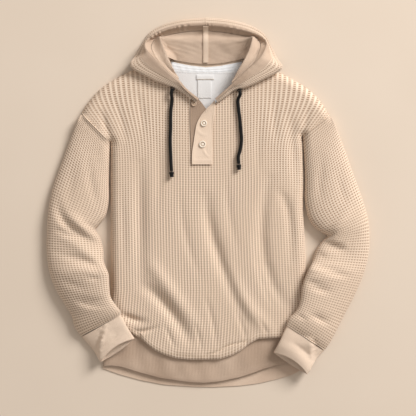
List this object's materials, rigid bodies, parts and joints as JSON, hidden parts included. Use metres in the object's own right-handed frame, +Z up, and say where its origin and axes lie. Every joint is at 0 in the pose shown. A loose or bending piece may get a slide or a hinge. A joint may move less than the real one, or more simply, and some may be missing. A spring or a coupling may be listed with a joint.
{
  "type": "hoodie",
  "caption": "Waffle-knit pullover hoodie laid flat on its back, hood open, with a short button placket, drawcord, plain cuffs and a curved plain hem band.",
  "frame": {"origin": "on the surface it lies on, under the middle of the part's box", "axes": "+X to the wearer's left, +Y from the hem to the hood, +Z up from the surface, out of its front"},
  "size_m": [0.7143, 0.818, 0.0493],
  "materials": {
    "waffle_knit": "sand-beige waffle knit",
    "plain_jersey": "plain beige jersey",
    "white_jersey": "plain white jersey",
    "cord": "black braided cord",
    "button": "cream buttons",
    "eyelet": "black eyelets"
  },
  "bodies": {
    "root": {"front_body": "waffle_knit", "back_body": "waffle_knit", "hem_band_front": "plain_jersey", "hem_band_back": "plain_jersey", "sleeve_right": "waffle_knit", "sleeve_left": "waffle_knit", "cuff_right": "plain_jersey", "cuff_left": "plain_jersey", "hood_right": "waffle_knit", "hood_left": "waffle_knit", "hood_casing_right": "plain_jersey", "hood_casing_left": "plain_jersey", "hood_lining_right": "plain_jersey", "hood_lining_left": "plain_jersey", "hood_seam_tape": "plain_jersey", "neck_tape": "white_jersey", "back_facing": "white_jersey", "neck_label": "white_jersey", "size_label": "white_jersey", "placket_under": "plain_jersey", "placket_top": "plain_jersey", "collar_button": "button", "upper_button": "button", "lower_button": "button", "eyelet_right": "eyelet", "eyelet_left": "eyelet", "drawcord_right": "cord", "drawcord_left": "cord", "knot_right": "cord", "knot_left": "cord"}
  },
  "joints": []
}
